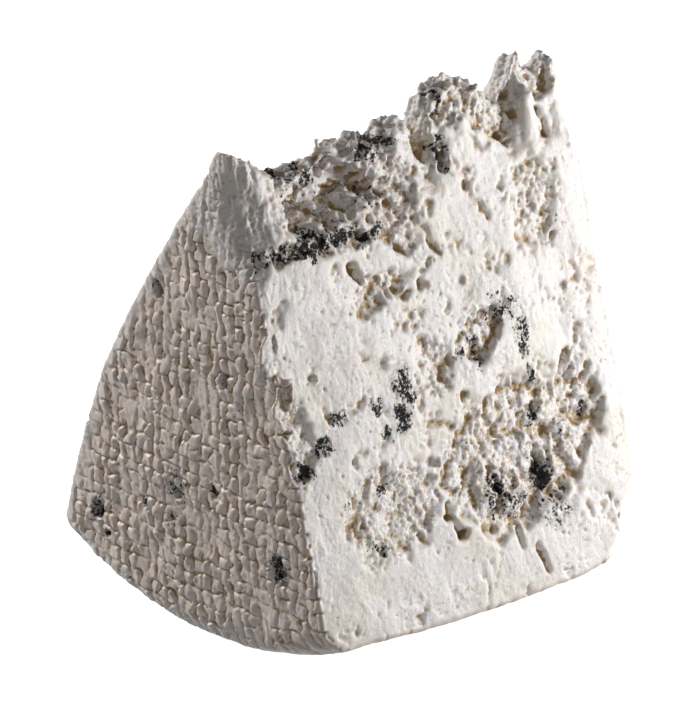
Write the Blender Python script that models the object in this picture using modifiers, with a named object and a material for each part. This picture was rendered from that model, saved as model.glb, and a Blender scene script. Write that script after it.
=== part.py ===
"""A wedge of gorgonzola, one eighth of a wheel, in one solid. Metres, +Z up.

The wedge stands on the wheel's curved side with its crumbled point up. X runs along the wheel's
axis: the two flat faces of the wheel are the ends at -X and +X. The front cut faces -Y.
The origin is under the middle of the wedge, on the surface that it stands on.
The shape is worked out in millimetres and brought to metres at the end.
"""

import math
import random

import bmesh
import bpy
from mathutils import Vector, noise

MM = 0.001

# The wheel and the cuts that free the wedge, in mm
WHEEL_RADIUS = 142.2
MIDDLE_Y = 5.0  # the wheel's axis lies this far behind the middle
HALF_WIDTH = 60.0  # half of the wheel's height, which is the wedge's length along X
FRONT_Y = -59.5  # where each cut meets the curved side
BACK_Y = 63.0
FOOT = -2.3  # height of the pressed foot while the shape is worked out
FOOT_SINK = 1.5  # how much of the round side the wedge's weight presses flat
POINT_FRONT = (-20.2, 153.0)  # y, z of the blunt point's front corner
POINT_BACK = (-12.5, 154.5)
BACK_BULGE = 8.3  # the soft back cut swells this far out of its plane
RIM_ROUND = 9.5  # the round edge between the wheel's flat faces and its side
HEEL_ROUND = 5.5  # the round edge where the back cut meets the side
CUT_ROUND = 1.2
END_BULGE = 1.5  # the flat faces swell this much in the middle
SHOULDER_ROUND = 13.0  # the corner between the -X end and the front cut, worn round near the point

# Steps of the mesh, in mm
BLOCK_GRAIN = 2.0  # voxel of the plain block
CRAG_GRAIN = 1.85  # voxel of the crumbled wedge
TRIANGLES = 9800

NOISE_SEED = 11  # without it, the noise that bends the splits differs from run to run

# Where the point has crumbled: distance along from the -X end, and height lost, in mm
POINT_LOSS = ((0, 1.2), (7, 5.2), (14.6, 10.4), (22, 12.0), (30, 9.4), (38, 8.8), (45, 9.4),
              (49, 8.4), (53, 10.2), (58, 5.8), (62, 5.6), (68.5, 10.6), (72.3, 2.2), (77, 0.2),
              (84, -0.8), (90, 1.0), (95.5, 6.6), (100, 9.4), (103.5, 4.6), (107.5, -3.6),
              (112.7, 2.8), (116, 3.4), (120, -1.6))
LOSS_REACH = 34.0  # how far down from the point the loss fades out

# The front cut's large splits, in mm: along and down at one end, the same at the other, half width, depth
FRONT_SPLITS = (
    (-0.5, 79, 0.5, 79, 3.2, 4.5), (1.5, 93.5, 2, 94.5, 3.2, 4),
    (51.0, 16.5, 52.8, 25.1, 2.0, 6.5), (50.6, 27, 50, 33, 1.6, 3.4),
    (73.0, 15.3, 73.6, 21.0, 1.8, 9.0), (60.0, 33.3, 65.9, 45.7, 1.5, 3.2),
    (61.9, 46.7, 55.7, 53.4, 1.5, 3.8), (72.2, 67.1, 75.5, 74.8, 2.2, 3.6),
    (52.4, 90.9, 58.3, 93.7, 2.0, 4.2), (90.9, 110.1, 88.7, 116.4, 2.0, 13),
    (85.0, 123.8, 82.0, 126.6, 1.6, 7), (72.8, 115.0, 72.0, 123.8, 1.7, 7),
    (33.4, 108.8, 34.1, 115.5, 1.6, 4), (33.6, 42.5, 36.5, 46.2, 2.2, 4.6),
    (34.1, 47.0, 38.1, 50.7, 1.4, 3.6), (14.8, 81.9, 14.0, 77.3, 1.4, 5),
    (96.5, 120.4, 97.4, 124.9, 1.5, 5), (75.4, 1.5, 75.0, 4.9, 1.2, 5),
    (105.2, 27.2, 105.5, 36.2, 1.6, 2.0), (105.5, 36.2, 96.9, 43.0, 1.5, 2.2),
    (96.9, 43.0, 97.3, 49.7, 1.5, 2.6),
)

# Where the front cut tore instead of slicing, in mm: middle along and down, half width and height, how far
# the surface drops, how high its lumps stand, and how much the drop leans from the lower edge to the upper
FRONT_TEARS = (
    (31, 13, 19, 16, 5.5, 2.2, 1), (80, 108, 31, 21, 0.8, 1.5, 0), (32, 112, 20, 15, 0.3, 1, 0),
    (53, 25, 10, 16, 0.6, 1.5, 0), (106, 100, 7, 18, 0.6, 1.3, 0), (3, 84, 6, 13, 0.5, 1.1, 0),
    (92, 3, 30, 9, 0.5, 1.8, 0), (74, 72, 7, 9, 0.5, 1.2, 0), (57, 76, 6, 10, 0.3, 1, 0),
    (103, 38, 9, 12, 0.2, 0.8, 0), (42, 50, 11, 5, 0.2, 0.9, 0),
)
FRONT_MOST = 0.62  # the share of the cheese's thickness that the front may lose
BACK_MOST = 0.3

# The hidden back cut is the same cheese: its splits and tears are drawn by this seeded rule
BACK_SEED = 7
BACK_SPLITS = 42
BACK_TEARS = 7

# Lumps of broken paste that are packed in the tears, in mm
LUMP_SIZE = 7.6
LUMP_STEP = 0.8
LUMP_SLANT = 1.2
LUMP_CREASE = 2.7
LUMP_SEED = 2.0

# Bites out of the edges: x, y, z of the centre and radius, in mm
EDGE_BITES = ((71, -68, 11.5, 22.9), (69, -24, 128, 8.2), (-62, 63, 5, 4))

# Flaps that curl off the front edge, and the lump at the point's far end: x, y, z, then half sizes, in mm
FLAPS = (((-61.8, -36.0, 97.5), (2.1, 2.6, 7.4)), ((-61.0, -40.8, 85.0), (2.1, 2.6, 7.4)))
END_LUMP = ((59.0, -17.3, 145.8), (2.9, 4.4, 5.2))

CREAM = (0.80, 0.76, 0.68, 1.0)


def wheel_side(y):
    """Height of the wheel's curved side at y, before the foot is pressed flat."""
    away = y - MIDDLE_Y
    return WHEEL_RADIUS - math.sqrt(WHEEL_RADIUS ** 2 - away ** 2) - FOOT_SINK + FOOT


class Cut:
    """A cut face: distances along the wedge, down from the point, and out of the cheese."""

    def __init__(self, top, foot_y):
        self.top = Vector((-HALF_WIDTH, top[0], top[1]))
        run = Vector((0, foot_y - top[0], wheel_side(foot_y) - top[1]))
        self.length = run.length
        self.down = run.normalized()
        self.out = Vector((0, self.down.z, -self.down.y)) * (1 if foot_y < 0 else -1)

    def place(self, point):
        """Distance along from the -X end, down from the point, and outside the plane."""
        away = point - self.top
        return away.x, away.dot(self.down), away.dot(self.out)


FRONT = Cut(POINT_FRONT, FRONT_Y)
BACK = Cut(POINT_BACK, BACK_Y)


def section_outline():
    """The wedge's section across X as (y, z), from the point down the back, round and up the front."""
    outline = [POINT_FRONT, POINT_BACK]
    back_steps = 12
    for step in range(1, back_steps):
        share = step / back_steps
        swell = BACK_BULGE * math.sin(math.pi * share ** 1.3) ** 1.3
        spot = BACK.top + BACK.down * BACK.length * share + BACK.out * swell
        outline.append((spot.y, spot.z))
    side_steps = 20
    for step in range(side_steps + 1):
        y = BACK_Y + (FRONT_Y - BACK_Y) * step / side_steps
        outline.append((y, wheel_side(y)))
    return outline


def bevel(shape, edges, width, segments):
    """Rounds the edges given."""
    bmesh.ops.bevel(shape, geom=edges, offset=width, segments=segments, profile=0.5, affect="EDGES",
                    material=-1)


def wedge_block():
    """The wedge as cut, before it crumbles: a prism of the section with the wheel's rims rounded."""
    shape = bmesh.new()
    corners = [shape.verts.new((-HALF_WIDTH, y, z)) for y, z in section_outline()]
    end = shape.faces.new(corners)
    grown = bmesh.ops.extrude_face_region(shape, geom=[end])
    moved = [item for item in grown["geom"] if isinstance(item, bmesh.types.BMVert)]
    bmesh.ops.translate(shape, verts=moved, vec=(2 * HALF_WIDTH, 0, 0))
    bmesh.ops.recalc_face_normals(shape, faces=shape.faces)
    low = wheel_side(FRONT_Y) + 0.01
    rims = [edge for edge in shape.edges
            if all(corner.co.z < low for corner in edge.verts)
            and abs(edge.verts[0].co.x - edge.verts[1].co.x) < 0.001]
    bevel(shape, rims, RIM_ROUND, 6)
    heel = [edge for edge in shape.edges
            if all(corner.co.y > BACK_Y - 0.5 for corner in edge.verts)
            and abs(edge.verts[0].co.x - edge.verts[1].co.x) > 50]
    bevel(shape, heel, HEEL_ROUND, 6)
    sharp = [edge for edge in shape.edges if edge.calc_face_angle(0) > math.radians(40)]
    bevel(shape, sharp, CUT_ROUND, 2)
    return shape


def add_lump(shape, centre, size, lean):
    """Overlaps a small rounded lump with the wedge, for the remesh to fuse."""
    made = bmesh.ops.create_icosphere(shape, subdivisions=2, radius=1.0)
    for corner in made["verts"]:
        corner.co = Vector((corner.co.x * size[0], corner.co.y * size[1], corner.co.z * size[2]))
        corner.co.x += lean * corner.co.z
        corner.co += Vector(centre)


def remesh(obj, voxel):
    """Makes the object's mesh one even closed skin with cells of the given size."""
    modifier = obj.modifiers.new("even_skin", "REMESH")
    modifier.mode = "VOXEL"
    modifier.voxel_size = voxel
    bake(obj)


def bake(obj):
    """Replaces the object's mesh with what its modifiers make, and drops them."""
    graph = bpy.context.evaluated_depsgraph_get()
    fresh = bpy.data.meshes.new_from_object(obj.evaluated_get(graph))
    stale = obj.data
    obj.modifiers.clear()
    obj.data = fresh
    bpy.data.meshes.remove(stale)


def keep_largest(obj):
    """Drops every closed skin but the largest: bubbles shut inside the cheese, and loose crumbs."""
    shape = bmesh.new()
    shape.from_mesh(obj.data)
    left = set(shape.verts)
    largest = set()
    while left:
        grown = [left.pop()]
        island = set(grown)
        while grown:
            corner = grown.pop()
            for edge in corner.link_edges:
                other = edge.other_vert(corner)
                if other in left:
                    left.remove(other)
                    island.add(other)
                    grown.append(other)
        if len(island) > len(largest):
            largest = island
    strays = [corner for corner in shape.verts if corner not in largest]
    bmesh.ops.delete(shape, geom=strays, context="VERTS")
    shape.to_mesh(obj.data)
    shape.free()


def fade(low, high, value):
    """0 below low, 1 above high, smooth between."""
    share = min(max((value - low) / (high - low), 0), 1)
    return share * share * (3 - 2 * share)


def hills(point, size, seed=0.0):
    """One smooth wave of noise at a point, -1 to 1."""
    return noise.noise(Vector(point) / size + Vector((seed, seed * 1.7, -seed)))


def drift(point, size, seed=0.0):
    """A smooth random push in three directions, -1 to 1."""
    return noise.noise_vector(Vector(point) / size + Vector((seed, -seed, seed * 0.6)))


def scatter(cell, seed):
    """A fixed random number from 0 to 1 for a cell's middle."""
    wave = math.sin(cell.dot(Vector((127.1, 311.7, 74.7))) + seed * 74.7) * 43758.5453
    return wave - math.floor(wave)


def lumps(spot):
    """Height of packed lumps of paste, each with its own height and slant, sunk in the gaps between."""
    place = spot / LUMP_SIZE + Vector((LUMP_SEED * 0.7, LUMP_SEED, LUMP_SEED * 1.3))
    distances, centres = noise.voronoi(place)
    middle = centres[0]
    turn = 2 * math.pi * scatter(middle, LUMP_SEED)
    away = place - middle
    rise = scatter(middle, LUMP_SEED + 3) - 0.5
    slope = away.x * math.cos(turn) + away.y * math.sin(turn) + away.z * rise
    gap = 1 - min(max((distances[1] - distances[0]) * 1.9, 0), 1) ** 0.5
    step = LUMP_STEP * 2 * (scatter(middle, LUMP_SEED + 7) - 0.5)
    return step + LUMP_SLANT * slope - LUMP_CREASE * gap


def crumble(along, down, most, splits, tears):
    """How far the cut's surface lies inside its plane at a place, in mm."""
    flat = Vector((along, down, 0))
    warp = drift(flat, 8.0) * 2.8 + drift(flat, 3.0, 3.0) * 2.2
    u, v = along + warp.x, down + warp.y
    jag = noise.fractal(flat / 3.2 + Vector((51, 51 * 1.7, -51)), 0.9, 2.1, 4)
    wander = drift(flat, 15.0, 53.0) * 6.0
    height = lumps(Vector((u, v, 0)))
    depth = 0.0
    for middle_u, middle_v, half_u, half_v, drop, stand, lean in tears:
        across = u + wander.x + 1.8 * jag - middle_u
        below = v + wander.y - 1.8 * jag - middle_v
        share = 1 - fade(0.8, 1.04, math.hypot(across / half_u, below / half_v))
        fall = min(drop * max(1 - lean * (v - middle_v) / half_v, 0), 0.7 * most)
        depth = max(depth, share * max(fall + 0.35 - 0.6 * stand * height, -0.2))
    for start_u, start_v, end_u, end_v, half, much in splits:
        run_u, run_v = end_u - start_u, end_v - start_v
        share = ((u - start_u) * run_u + (v - start_v) * run_v) / (run_u ** 2 + run_v ** 2)
        share = min(max(share, 0), 1)
        reach = math.hypot(u - start_u - share * run_u, v - start_v - share * run_v) / half
        reach = max(reach + 0.55 * jag, 0)
        if reach < 1:
            depth = max(depth, much * (1.1 + 0.3 * height) * (1 - reach ** 2.4) ** 0.75)
    return depth


def back_features():
    """Splits and tears for the back cut, spread by a seeded draw in the front's sizes."""
    draw = random.Random(BACK_SEED)
    width, length = 2 * HALF_WIDTH, BACK.length
    splits = []
    for _ in range(BACK_SPLITS):
        u, v = draw.uniform(6, width - 6), draw.uniform(8, length - 22)
        splits.append((u, v, u + draw.uniform(-5, 5), v + draw.uniform(2, 9), draw.uniform(0.9, 2.6),
                       draw.uniform(2, 7)))
    tears = []
    for _ in range(BACK_TEARS):
        tears.append((draw.uniform(10, width - 10), draw.uniform(10, length - 30), draw.uniform(9, 22),
                      draw.uniform(9, 20), draw.uniform(0.8, 3), draw.uniform(1.6, 3), 0))
    return splits, tears


def round_shoulder(point):
    """The point, with the corner between the -X end and the front cut worn round near the top."""
    u, v, out = FRONT.place(point)
    radius = SHOULDER_ROUND * (1 - fade(26, 44, v)) * (0.4 + 0.6 * fade(0, 14, v)) + 0.01
    inward, outward = radius - u, radius + out
    length = math.hypot(inward, outward)
    if inward <= 0 or outward <= 0 or length <= radius:
        return point
    share = radius / length
    moved = point + FRONT.out * outward * (share - 1)
    moved.x += inward * (1 - share)
    return moved


def drop_from_point(point):
    """How far a place sinks because the point above it has crumbled away."""
    along = min(max(point.x + HALF_WIDTH, 0), 2 * HALF_WIDTH)
    loss = 0.0
    for (start, low), (stop, high) in zip(POINT_LOSS, POINT_LOSS[1:]):
        if start <= along <= stop:
            loss = low + (high - low) * fade(start, stop, along)
    crag = 0.4 + 1.4 * hills((along, point.y, 44.0), 3.6) - 0.9 * lumps(point)
    return (loss + crag) * fade(POINT_BACK[1] - LOSS_REACH, POINT_BACK[1] - 4, point.z)


def crumbled(point, normal, back):
    """Where a place on the plain block's surface ends up."""
    moved = point.copy()
    thick = 8 + 0.72 * max(FRONT.place(point)[1], 0)  # of cheese between the cuts at this height
    for cut, features, most in ((FRONT, (FRONT_SPLITS, FRONT_TEARS), FRONT_MOST), (BACK, back, BACK_MOST)):
        facing = fade(0.35, 0.8, normal.dot(cut.out))
        if facing > 0:
            along, down, _ = cut.place(point)
            depth = min(crumble(along, down, most * thick, *features), 1.3 * most * thick)
            moved += cut.out * facing * (0.35 * hills(point, 9.0) - depth)
    moved = round_shoulder(moved)
    swell = 3.5 * math.exp(-((point.z - 34) / 26) ** 2) + 3.0 * fade(45, 65, point.z)
    swell = (swell - 3.4 * fade(128, 137, point.z)) * fade(0, 25, -point.y)
    moved.x += swell * fade(0.4, 0.9, normal.x)
    lip = fade(35, 56, -point.y) * (1 - fade(5, 40, point.z)) * fade(-50, -12, point.x)
    moved.z -= (3.2 + fade(-20, 10, point.x) - 2.4 * fade(36, 56, point.x)) * lip
    middle = 1 - (point.y / BACK_Y) ** 2
    side = fade(0.5, 0.9, abs(normal.x))
    moved.x += math.copysign(END_BULGE * side * middle * fade(0, 50, point.z), point.x)
    moved += normal * 0.9 * hills(point, 24.0) * fade(4, 20, point.z)
    moved.z -= drop_from_point(point)
    for x, y, z, radius in EDGE_BITES:
        centre = Vector((x, y, z))
        away = moved - centre
        wide = radius * (1 + 0.25 * hills(point, 5.0))
        if away.length < wide:
            moved = centre + away.normalized() * wide
    return moved


def press_foot(obj):
    """Flattens what hangs below the foot, stands the wedge at zero and brings it to metres."""
    for corner in obj.data.vertices:
        corner.co.z = max(corner.co.z, FOOT) - FOOT
        corner.co *= MM


def thin_out(obj, triangles):
    """Joins small triangles where the surface is plain, down to about the number given."""
    modifier = obj.modifiers.new("thin_out", "DECIMATE")
    modifier.ratio = triangles / (2 * len(obj.data.polygons))
    bake(obj)


def cheese_material():
    """Pale cream paste, soft and slightly moist."""
    material = bpy.data.materials.new("cream_paste")
    material.use_nodes = True
    shader = material.node_tree.nodes["Principled BSDF"]
    shader.inputs["Base Color"].default_value = CREAM
    shader.inputs["Roughness"].default_value = 0.62
    shader.inputs["Metallic"].default_value = 0.0
    return material


def build_wedge(home):
    """Cuts the block, adds its end lump and flaps, crumbles it and presses its foot flat."""
    shape = wedge_block()
    for centre, size in (*FLAPS, END_LUMP):
        add_lump(shape, centre, size, 0.12)
    mesh = bpy.data.meshes.new("gorgonzola_wedge")
    shape.to_mesh(mesh)
    shape.free()
    wedge = bpy.data.objects.new("gorgonzola_wedge", mesh)
    home.objects.link(wedge)
    remesh(wedge, BLOCK_GRAIN)
    back = back_features()
    normals = [corner.normal.copy() for corner in wedge.data.vertices]
    for corner, normal in zip(wedge.data.vertices, normals):
        corner.co = crumbled(corner.co.copy(), normal, back)
    remesh(wedge, CRAG_GRAIN)
    keep_largest(wedge)
    thin_out(wedge, TRIANGLES)
    press_foot(wedge)
    wedge.data.materials.clear()
    wedge.data.materials.append(cheese_material())
    wedge.data.shade_smooth()
    return wedge


def main():
    """Clears the scene and builds the wedge in its own collection."""
    noise.seed_set(NOISE_SEED)
    for obj in list(bpy.data.objects):
        bpy.data.objects.remove(obj)
    home = bpy.data.collections.new("gorgonzola wedge")
    bpy.context.scene.collection.children.link(home)
    build_wedge(home)


main()
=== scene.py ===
"""The looks of a gorgonzola wedge: torn and smeared paste, mould veins and cloth-marked rind.

The wedge is made as three overlapping blocks. It starts as the plain cut block, is crumbled in two passes
of vertex moves with an even skin made between them, and each block carries what its finish needs as
attributes of its own mesh.
Sizes in the classes are millimetres, and Blender's mesh is metres.
"""

import logging
import math
import random
from dataclasses import dataclass, field
from enum import Enum
from typing import Callable

import bmesh
import bpy
import numpy as np
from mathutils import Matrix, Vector, noise

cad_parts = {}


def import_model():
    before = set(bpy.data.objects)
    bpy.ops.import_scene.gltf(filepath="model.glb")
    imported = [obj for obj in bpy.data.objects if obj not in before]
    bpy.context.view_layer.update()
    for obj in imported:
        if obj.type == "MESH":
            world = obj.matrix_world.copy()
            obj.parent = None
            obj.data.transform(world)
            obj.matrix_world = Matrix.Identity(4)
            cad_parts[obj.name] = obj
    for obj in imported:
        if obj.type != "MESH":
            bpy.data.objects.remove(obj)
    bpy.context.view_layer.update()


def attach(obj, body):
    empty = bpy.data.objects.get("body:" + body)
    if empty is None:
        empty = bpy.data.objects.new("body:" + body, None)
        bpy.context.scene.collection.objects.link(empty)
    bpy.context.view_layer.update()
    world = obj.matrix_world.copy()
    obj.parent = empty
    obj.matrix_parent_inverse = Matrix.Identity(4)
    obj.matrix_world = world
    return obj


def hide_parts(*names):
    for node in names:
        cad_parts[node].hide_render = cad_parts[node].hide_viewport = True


MM = 0.001
LOG = logging.getLogger("gorgonzola")
# Without it, the noise that bends the cracks differs from run to run
NOISE_SEED = 11

NODE = "gorgonzola_wedge"
BODY = "root"

Colour = tuple[float, float, float, float]
Place = tuple[float, float, float]
Tree = bpy.types.NodeTree
Socket = bpy.types.NodeSocket


class Grain(Enum):
    """The kinds of noise that the crumbling draws on."""

    WAVE = "one smooth wave of hills, -1 to 1"
    ROUGH = "waves within waves, -1 to 1"


def fade(low: float, high: float, value: np.ndarray) -> np.ndarray:
    """A smooth step.

    Args:
        low: where the step starts, with 0.
        high: where it ends, with 1.
        value: the values to step over.

    Returns:
        The share from 0 to 1 for each value.
    """
    share = np.clip((value - low) / (high - low), 0.0, 1.0)
    return share * share * (3.0 - 2.0 * share)


def hills(points: np.ndarray, size: float, seed: float = 0.0, grain: Grain = Grain.WAVE) -> np.ndarray:
    """Noise at each point.

    Args:
        points: places in mm, one row each.
        size: how wide one hill is, in mm.
        seed: moves the pattern elsewhere.
        grain: the kind of noise.

    Returns:
        One value a point, from about -1 to 1.
    """
    rows = (points / size + (seed, seed * 1.7, -seed)).tolist()
    if grain is Grain.WAVE:
        return np.array([noise.noise(row) for row in rows])
    return np.array([noise.fractal(row, 0.9, 2.1, 4) for row in rows])


def drift(points: np.ndarray, size: float, seed: float = 0.0) -> np.ndarray:
    """A smooth random push in three directions at each point, from -1 to 1.

    Args:
        points: places in mm, one row each.
        size: how wide one swirl is, in mm.
        seed: moves the pattern elsewhere.

    Returns:
        One push a point, one row each.
    """
    rows = (points / size + (seed, -seed, seed * 0.6)).tolist()
    return np.array([noise.noise_vector(row)[:] for row in rows])


def where_open(gate: np.ndarray, make: Callable[..., np.ndarray], *rows: np.ndarray) -> np.ndarray:
    """Numbers worked out only where a gate is open, and 0 elsewhere.

    Args:
        gate: above 0 where the numbers are wanted.
        make: takes the chosen rows, and returns one number for each.
        rows: the arrays that make takes, one row a point.

    Returns:
        One number a point.
    """
    chosen = gate > 0
    numbers = np.zeros(len(gate))
    if chosen.any():
        numbers[chosen] = make(*(row[chosen] for row in rows))
    return numbers


def scatter(cells: np.ndarray, seed: float) -> np.ndarray:
    """A fixed random number for each cell.

    Args:
        cells: the whole numbers that name each cell, one row each.
        seed: another number for the same cell.

    Returns:
        One number from 0 to 1 a row.
    """
    wave = np.sin(cells @ np.array([127.1, 311.7, 74.7])[: cells.shape[1]] + seed * 74.7) * 43758.5453
    return wave - np.floor(wave)


@dataclass(frozen=True)
class Rubble:
    """Broken lumps of paste packed against each other, each with its own height and slant, in mm."""

    size: float
    step: float
    slant: float
    crease: float
    seed: float
    tight: float = 2.6

    def lay(self, points: np.ndarray) -> tuple[np.ndarray, np.ndarray]:
        """The lumps' surface.

        Args:
            points: places in mm, one row each.

        Returns:
            Heights in mm, and how deep inside its lump each point lies, 0 in the gap between lumps.
        """
        spots = points / self.size + (self.seed * 0.7, self.seed, self.seed * 1.3)
        found = [noise.voronoi(row) for row in spots.tolist()]
        near = np.array([distances[:2] for distances, _ in found])
        middles = np.array([centres[0][:] for _, centres in found])
        depth = near[:, 1] - near[:, 0]
        turn = 2 * math.pi * scatter(middles, self.seed)
        rise = scatter(middles, self.seed + 3) - 0.5
        away = spots - middles
        slope = away[:, 0] * np.cos(turn) + away[:, 1] * np.sin(turn) + away[:, 2] * rise
        gap = 1 - np.clip(depth * self.tight, 0, 1) ** 0.5
        height = self.step * 2 * (scatter(middles, self.seed + 7) - 0.5) + self.slant * slope
        return height - self.crease * gap, depth


@dataclass(frozen=True)
class Wheel:
    """The wheel, the two cuts that free the wedge, and the blunt point where they meet, in mm."""

    radius: float = 142.2
    middle_y: float = 5.0
    half_width: float = 60.0
    front_y: float = -59.5
    back_y: float = 63.0
    foot: float = -2.3
    foot_sink: float = 1.5
    point_front: tuple[float, float] = (-20.2, 153.0)
    point_back: tuple[float, float] = (-12.5, 154.5)
    back_bulge: float = 8.3
    rim_round: float = 9.5
    heel_round: float = 5.5
    cut_round: float = 1.2
    end_bulge: float = 1.5

    def side(self, y: np.ndarray) -> np.ndarray:
        """Height of the wheel's curved side at y, before the foot is pressed flat."""
        away = y - self.middle_y
        return self.radius - np.sqrt(np.maximum(self.radius**2 - away**2, 1.0)) - self.foot_sink + self.foot


@dataclass(frozen=True)
class Cut:
    """A cut face, from the blunt point down to the wheel's side, in mm."""

    top: np.ndarray
    down: np.ndarray
    out: np.ndarray
    length: float

    @classmethod
    def between(cls, wheel: Wheel, top: tuple[float, float], foot_y: float) -> "Cut":
        """The cut from a corner of the point to the side of the wheel.

        Args:
            wheel: the wheel that is cut.
            top: y and z of the point's corner.
            foot_y: y where the cut meets the wheel's side.

        Returns:
            The cut, whose out points away from the cheese.
        """
        foot = (foot_y, float(wheel.side(np.array(foot_y))))
        run = np.array([0.0, foot[0] - top[0], foot[1] - top[1]])
        length = float(np.linalg.norm(run))
        down = run / length
        side = 1.0 if foot_y < 0 else -1.0
        out = np.array([0, down[2], -down[1]]) * side
        return cls(np.array([-wheel.half_width, *top]), down, out, length)

    def place(self, points: np.ndarray) -> tuple[np.ndarray, np.ndarray, np.ndarray]:
        """Where points lie against the cut.

        Args:
            points: places in mm, one row each.

        Returns:
            Distance along from the -X end, distance down from the point, and distance outside the plane.
        """
        away = points - self.top
        return away[:, 0], away @ self.down, away @ self.out


@dataclass(frozen=True)
class Spot:
    """A hollow or a mould stain on a face: its middle, its half sizes, and its depth or strength."""

    u: float
    v: float
    half_u: float
    half_v: float
    much: float

    def reach(self, u: np.ndarray, v: np.ndarray) -> np.ndarray:
        """0 in the middle and 1 at the rim."""
        return np.hypot((u - self.u) / self.half_u, (v - self.v) / self.half_v)


@dataclass(frozen=True)
class Crack:
    """A narrow split in a cut, straight from one place to another, with its half width and depth."""

    start_u: float
    start_v: float
    end_u: float
    end_v: float
    half: float
    much: float

    def reach(self, u: np.ndarray, v: np.ndarray) -> np.ndarray:
        """How far places lie from the split.

        Args:
            u: distances along.
            v: distances down.

        Returns:
            0 on the line and 1 at the rim, for each place.
        """
        run_u, run_v = self.end_u - self.start_u, self.end_v - self.start_v
        along = ((u - self.start_u) * run_u + (v - self.start_v) * run_v) / (run_u**2 + run_v**2)
        along = np.clip(along, 0, 1)
        return np.hypot(u - self.start_u - along * run_u, v - self.start_v - along * run_v) / self.half


@dataclass(frozen=True)
class Tear:
    """A stretch of a cut that tore instead of slicing: how far it drops, and how high its lumps stand.

    A lean of 1 deepens the drop twofold at the upper edge and ends it at the lower one.
    """

    u: float
    v: float
    half_u: float
    half_v: float
    drop: float
    stand: float
    lean: float = 0.0

    def share(self, u: np.ndarray, v: np.ndarray) -> np.ndarray:
        """1 inside the tear, 0 outside."""
        return 1.0 - fade(0.8, 1.04, np.hypot((u - self.u) / self.half_u, (v - self.v) / self.half_v))

    def fall(self, v: np.ndarray) -> np.ndarray:
        """How far the torn surface drops at v, in mm."""
        return self.drop * np.maximum(1 - self.lean * (v - self.v) / self.half_v, 0)


# The front cut's hollows: along from the -X end, down from the point, half width, half height, depth
FRONT_HOLLOWS = tuple(Spot(*sizes) for sizes in (
    (-0.5, 79, 3, 3.6, 4.5), (1.5, 94, 4, 2.6, 4), (10, 31, 22, 2.3, 2.6), (38, 33.5, 16, 2.2, 2.4),
))
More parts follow.
